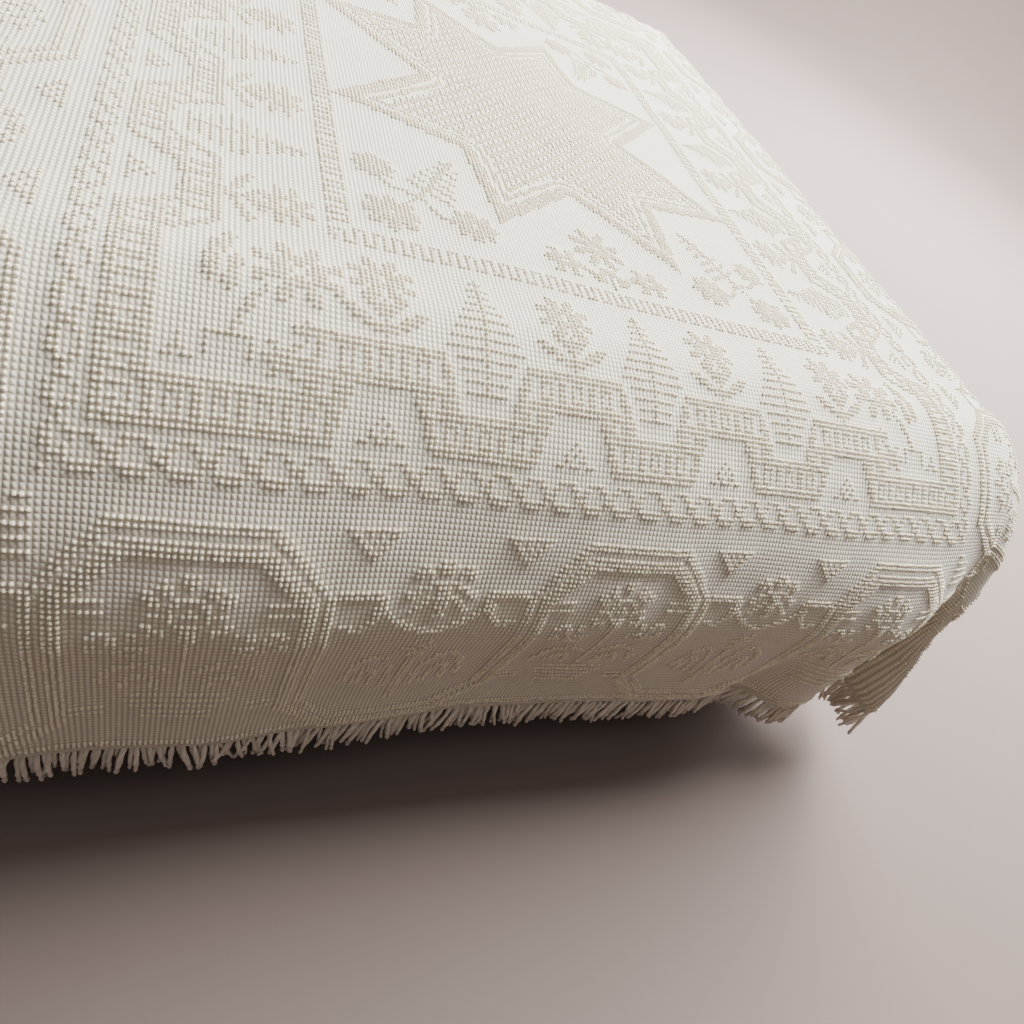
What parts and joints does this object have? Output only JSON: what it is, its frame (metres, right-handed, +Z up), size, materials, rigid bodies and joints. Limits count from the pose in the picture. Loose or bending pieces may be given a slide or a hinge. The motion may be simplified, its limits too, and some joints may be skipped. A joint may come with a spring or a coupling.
{
  "type": "candlewick bedspread on a bed",
  "caption": "Cream tufted candlewick bedspread with a corded fringe, draped over a plain mattress and upholstered base and hanging lowest at the foot.",
  "frame": {"origin": "on the floor, under the middle of the whole", "axes": "+Z up, +Y along the bed towards its head, +X across the bed, to the right when looking from the foot"},
  "size_m": [1.7826, 2.1346, 0.68],
  "materials": {
    "cotton_cloth": "cream cotton cloth with raised cotton tufts",
    "cotton_fringe": "plied cream cotton cord",
    "mattress_ticking": "plain woven ticking",
    "base_upholstery": "plain woven upholstery"
  },
  "bodies": {
    "root": {"bed_base": "base_upholstery", "mattress": "mattress_ticking", "bedspread": "cotton_cloth", "fringe_foot": "cotton_fringe", "fringe_left": "cotton_fringe", "fringe_right": "cotton_fringe"}
  },
  "joints": []
}
